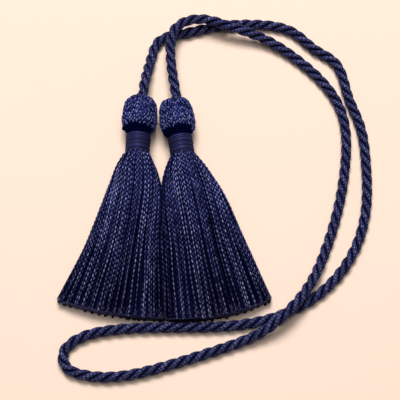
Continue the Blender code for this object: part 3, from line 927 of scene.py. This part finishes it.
def chained(middles, outward, width, roll, tone, length_share, around, chance):
    """One yarn: its two columns of stitches and their tones, and its core with its tones and run."""
    fine = np.concatenate([[0.0], np.cumsum(np.linalg.norm(np.diff(middles, axis=0), axis=1))]) / MM
    total = fine[-1] * length_share
    leaves, tones = [], []
    directions = along_of(middles)
    for column in (-1, 1):
        # counted up from the cut end, where every other yarn column ends in half a stitch
        at = np.arange(total - SKIRT_PITCH * (0.5 if column < 0 else 1.0), 0.3, -SKIRT_PITCH)
        at = at + chance.normal(0.0, STITCH_DRIFT, len(at))
        size = np.interp(at, STITCH_SETTLES, STITCH_GROWS) * SKIRT_STITCH
        if column > 0:
            at = np.append(at, total - SKIRT_PITCH / 4)
            size = np.append(size, SKIRT_STITCH / 2)
        place, heading, out, broad, turned, lit = read_at(
            at, fine, middles, directions, outward, width, roll, tone
        )
        out = unit(out - heading * (out * heading).sum(1, keepdims=True))
        across = np.cross(out, heading)
        turned_out = out * np.cos(turned) + across * np.sin(turned)
        turned_across = across * np.cos(turned) - out * np.sin(turned)
        stray = np.interp(at, STITCH_SETTLES, STITCH_STRAY)[:, None]
        lean = column * np.radians(STITCH_LEAN + stray * chance.normal(0.0, 1.0, (len(at), 1)))
        apart = np.interp(at / total, *COLUMNS_APART)[:, None]
        leaves.append(
            stitches(
                place + turned_across * column * broad * apart * MM,
                heading - turned_across * np.tan(lean) + turned_out * math.tan(STITCH_DIP),
                turned_out,
                np.column_stack(
                    [
                        size,
                        broad[:, 0] * np.interp(at / total, *SKIRT_SLIM),
                        YARN_THICKNESS * np.interp(at / total, *STITCH_DEEP),
                    ]
                )
                * chance.uniform(*STITCH_SIZES, (len(at), 1)),
                around,
            )
        )
        # painted shade on the column that a turned yarn carries under
        turned_shade_gain = np.interp(at / total, *TURNED_SHADE) * column
        hidden = np.clip(turned_shade_gain * np.sin(turned[:, 0]), 0.0, 0.8)
        tones.append((lit[:, 0] + chance.normal(0.0, STITCH_DIFFERS, len(at))) * (1.0 - hidden))
    tones = np.clip(np.concatenate(tones), 0.05, 1.0)
    core = yarn_core(middles, directions, outward, width, fine, total)
    return np.concatenate(leaves), tones, *core


def hem_hairs(core, chance, count):
    """A few loose filaments at a yarn's cut end."""
    end = core[-1][1:3].mean(axis=0)
    heading = unit(core[-1].mean(axis=0) - core[-2].mean(axis=0))
    hairs = []
    for _ in range(count):
        back = chance.uniform(*HAIR_FROM)
        start = end - heading * back * MM + chance.normal(0.0, HAIR_SCATTER * MM, 3)
        way = unit(heading + chance.normal(0.0, 0.2, 3))
        reach = (0.7 + chance.uniform(0.1, 0.9) * back) * MM
        side = unit(np.cross(way, (0.0, 0.0, 1.0)))
        other = np.cross(way, side)
        rim = math.tau * np.arange(3) / 3
        ring = np.cos(rim)[:, None] * side + np.sin(rim)[:, None] * other
        steps = np.array(HAIR_STEPS)
        bend = chance.normal(0.0, HAIR_BEND * MM, 3)
        line = start + steps[:, None] * reach * way + (steps**2)[:, None] * bend
        hairs.append(line[:, None] + HAIR_RADIUS * MM * ring[None])
    return np.array(hairs)


LAYER_DEEP = (0.0, 0.4, 0.75)  # mm, of each layer of yarns where they leave the binding
LAYER_UP = (0.1, 0.45, 0.8)  # share of the length at which each layer has come up


def layer_depth(count, shares, chance):
    """How far below the skin each outer yarn lies: every third one on top, the others coming up."""
    layer = np.arange(count) % len(LAYER_DEEP)
    deep = np.choose(layer, LAYER_DEEP)[:, None]
    rising = np.choose(layer, LAYER_UP)[:, None] * chance.uniform(0.75, 1.2, (count, 1))
    up = np.clip(shares[None] / rising, 0.0, 1.0)
    return YARN_THICKNESS / 3 + deep * (1.0 - up * up * (3.0 - 2.0 * up))


BUNCH_SIZES = (2, 3, 4)  # yarns
BUNCH_DRAWN = (0.02, 0.3)  # least and greatest share of the way to its middle


def bunch_pull(count, chance):
    """How far each yarn is drawn towards the middle of its small bunch, in yarn widths."""
    pull = np.zeros(count)
    start = 0
    while start < count:
        size = int(chance.integers(BUNCH_SIZES[0], BUNCH_SIZES[-1] + 1))
        members = np.arange(start, min(start + size, count))
        pull[members] = (members.mean() - members) * chance.uniform(*BUNCH_DRAWN)
        start += size
    return pull


def lay_yarns(label, name, rows, shares, laid, around, chance, shortened=0.0):
    """One piece of a skirt's yarns, shortened by a share of their length.

    Laid is their turns round the skirt, and at each share down it their depth and how far aside they lie
    in mm, how they are turned about themselves in radians, and their tone.
    """
    turns, depth, aside, roll, tone = laid
    middles, outward = yarn_lines(name, rows, turns, depth, aside, shares)
    width = np.interp(shares, *YARN_WIDTH)
    whole_width, whole_roll, whole_tone = (
        np.concatenate([np.repeat(track[..., :1], NECK_STEPS, axis=-1), track], axis=-1)
        for track in (width, roll, tone)
    )
    leaves, tones, cores, core_tones, runs, hairs = [], [], [], [], [], []
    for index in range(len(turns)):
        cut = 1.0 - HEM_RAGGED * chance.random() ** 2 - shortened
        leaf, shade, core, core_tone, run = chained(
            middles[index],
            outward[index],
            whole_width,
            whole_roll[index],
            whole_tone[index],
            cut,
            around,
            chance,
        )
        leaves.append(leaf)
        tones.append(shade)
        cores.append(core)
        core_tones.append(core_tone)
        runs.append(run)
        hairs.append(hem_hairs(core, chance, HAIRS))
    leaves, tones, hairs = (np.concatenate(group) for group in (leaves, tones, hairs))
    cores = np.array(cores)
    for shape in (leaves, hairs, cores):
        shape[..., 2] = np.maximum(shape[..., 2], 0.0)
    piece = add_threads(
        f"skirt_{label}_{name}",
        (leaves, stitch_run(len(leaves), SKIRT_STITCH), stitch_tones(tones, around)),
        (cores, np.array(runs), np.array(core_tones)),
        (hairs, np.array(HAIR_STEPS) * MM, np.full(len(hairs), HAIR_TONE)),
    )
    piece.data.materials.append(tassel_yarn)
    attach(piece, "root")
    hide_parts(f"tassel_{name}")


for name, tassel in TASSELS.items():
    chance = np.random.default_rng(tassel["seed"] + 20)
    rows = skirt_rows(name)
    shares = np.linspace(0.0, 1.0, 81)

    turns = math.tau * (np.arange(OUTER_YARNS) + 0.5) / OUTER_YARNS - math.pi
    depth = layer_depth(OUTER_YARNS, shares, chance)
    depth = depth + OUTER_WANDER * shares[None] * np.abs(waves(chance, shares, OUTER_YARNS))
    spacing = np.interp(shares, *YARN_SPACING)[None]
    aside = bunch_pull(OUTER_YARNS, chance)[:, None] * spacing * shares[None] ** 1.5 * 2.0
    aside = aside + OUTER_WANDER * shares[None] ** 0.5 * waves(chance, shares, OUTER_YARNS)
    roll = np.radians(chance.normal(0.0, YARN_ROLL, (OUTER_YARNS, 1)))
    roll = roll + (OUTER_TURN[0] + OUTER_TURN[1] * shares) * waves(chance, shares, OUTER_YARNS)
    differing = chance.normal(0.0, YARN_DIFFERS, (OUTER_YARNS, 1))
    differing = differing + YARN_DIFFERS * waves(chance, shares, OUTER_YARNS)
    differing = differing - differing.mean(axis=0)
    # painted shade: darker towards the cut ends
    tone = np.interp(shares, *OUTER_SHADE_DOWN) * (
        1.0 + differing * np.interp(shares, (0.0, 0.3), (0.3, 1.0))
    )
    # painted shade towards the outer edge
    from_edge = np.abs(turns) if tassel["seam_side"] < 0 else math.pi - np.abs(turns)
    painted_edge_shade = EDGE_PAINTED_SHADE * np.clip(1.0 - from_edge / EDGE_WIDTH, 0.0, 1.0)[:, None]
    tone = tone * (1.0 - painted_edge_shade * np.interp(shares, (0.15, 0.45), (0.0, 1.0)))
    # painted shade against the other tassel
    in_seam_shade = np.abs(turns - (0.0 if tassel["seam_side"] > 0 else math.pi)) < SEAM_WIDTH
    tone = np.clip(np.where(in_seam_shade[:, None], SEAM_PAINTED_SHADE * tone, tone), 0.12, 1.0)
    for label, around, chosen in (("top", ROUND_STITCH, turns > 0), ("under", PLAIN_STITCH, turns <= 0)):
        laid = [track[chosen] for track in (turns, depth, aside, roll, tone)]
        lay_yarns(label, name, rows, shares, laid, around, chance)

    inner_turns = math.tau * np.arange(INNER_YARNS) / INNER_YARNS - math.pi
    inner_depth = YARN_THICKNESS * np.interp(np.abs(np.sin(inner_turns)), *INNER_DEEP)
    inner_depth = np.repeat(inner_depth[:, None], len(shares), axis=1)
    inner_aside = INNER_WANDER * waves(chance, shares, INNER_YARNS)
    inner_roll = INNER_WANDER * waves(chance, shares, INNER_YARNS)
    inner_tone = np.clip(chance.normal(*INNER_TONE, (INNER_YARNS, 1)), 0.05, 1.0)
    inner_tone = np.repeat(inner_tone, len(shares), axis=1)
    laid = (inner_turns, inner_depth, inner_aside, inner_roll, inner_tone)
    lay_yarns("inner", name, rows, shares, laid, PLAIN_STITCH, chance, INNER_SHORT)

    # what fills the middle of the skirt: more of the yarn, close together, painted deep as the shade inside
    packed = np.append(np.linspace(0.0, 0.99, 33), 0.992)
    round_it = (math.tau * np.arange(PACKING_SIDES) / PACKING_SIDES - math.pi + 0.01)[::-1]
    skin = skirt_skin(name, rows, round_it[None, :], packed[:, None])
    inward = skin.mean(axis=1, keepdims=True) - skin
    far = np.linalg.norm(inward, axis=-1, keepdims=True)
    shrink = np.interp(packed, *PACKING_DEPTH)[:, None, None] * MM
    by_seam = np.clip(np.cos(round_it) * tassel["seam_side"], 0.0, 1.0)[None, :, None] ** 4
    filling = skin + inward / far * np.minimum(shrink * (1.0 - 0.6 * by_seam), far * 0.8)
    filling[..., 2] = np.clip(filling[..., 2], PACKING_FLOOR * MM, None)
    packing_shade_tone = np.zeros(len(packed))
    packing_shade_tone[-1] = PACKING_CUT_TONE
    packing = add_threads(
        f"skirt_core_{name}", (filling[None], packed * PACKING_LENGTH, packing_shade_tone[None])
    )
    packing.data.materials.append(tassel_yarn)
    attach(packing, "root")
    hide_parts(f"tassel_{name}")

# ---------------------------------------------------------------- table
# A plain pale table top, warm and very slightly cloudy, for the tassels to lie on. It isn't part of the
# object.

TABLE_SIZE = 6.0  # metres
TABLE_COLORS = ((0.925, 0.728, 0.592, 1.0), (0.945, 0.757, 0.627, 1.0))

half = TABLE_SIZE / 2
table_mesh = bpy.data.meshes.new("table_top")
table_mesh.from_pydata(
    [(-half, -half, 0.0), (half, -half, 0.0), (half, half, 0.0), (-half, half, 0.0)], [], [(0, 1, 2, 3)]
)
table = bpy.data.objects.new("table_top", table_mesh)
bpy.context.scene.collection.objects.link(table)
table_finish = Finish("table_paper", {"Roughness": 0.7, "Specular IOR Level": 0.2})
cloud = table_finish.node(
    "ShaderNodeTexNoise",
    {},
    {
        "Vector": table_finish.node("ShaderNodeTexCoord", {}, {}, "Object"),
        "Scale": 9.0,
        "Detail": 2.0,
    },
)
table_finish.feed("Base Color", table_finish.mixed(cloud, *TABLE_COLORS))
table.data.materials.append(table_finish.material)
